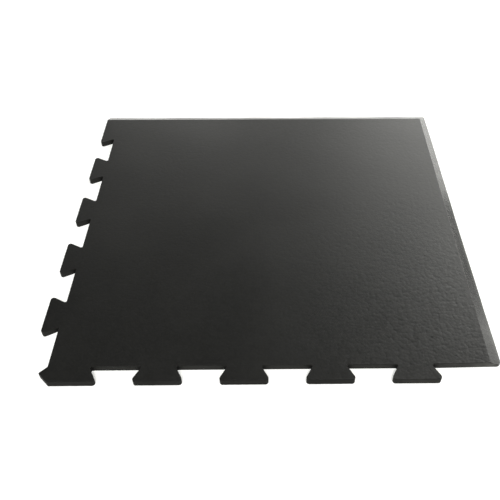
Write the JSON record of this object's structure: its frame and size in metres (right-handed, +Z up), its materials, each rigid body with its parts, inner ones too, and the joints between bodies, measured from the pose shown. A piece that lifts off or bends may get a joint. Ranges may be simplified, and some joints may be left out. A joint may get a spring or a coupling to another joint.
{
  "type": "interlocking rubber mat",
  "caption": "Square corner mat of solid black rubber with a pebbled top, dovetail tabs along the front and left sides, and sloping ramps along the right and back sides",
  "frame": {"origin": "under the middle of the mat, on its underside", "axes": "+X towards the ramped right side, +Y towards the ramped back side, +Z up; the tabs point to -X and -Y"},
  "size_m": [1, 1, 0.016],
  "materials": {
    "black_rubber": "fine pebbled moulded top with a soft satin sheen, smooth matt sides"
  },
  "bodies": {
    "root": {"rubber_mat": "black_rubber"}
  },
  "joints": []
}
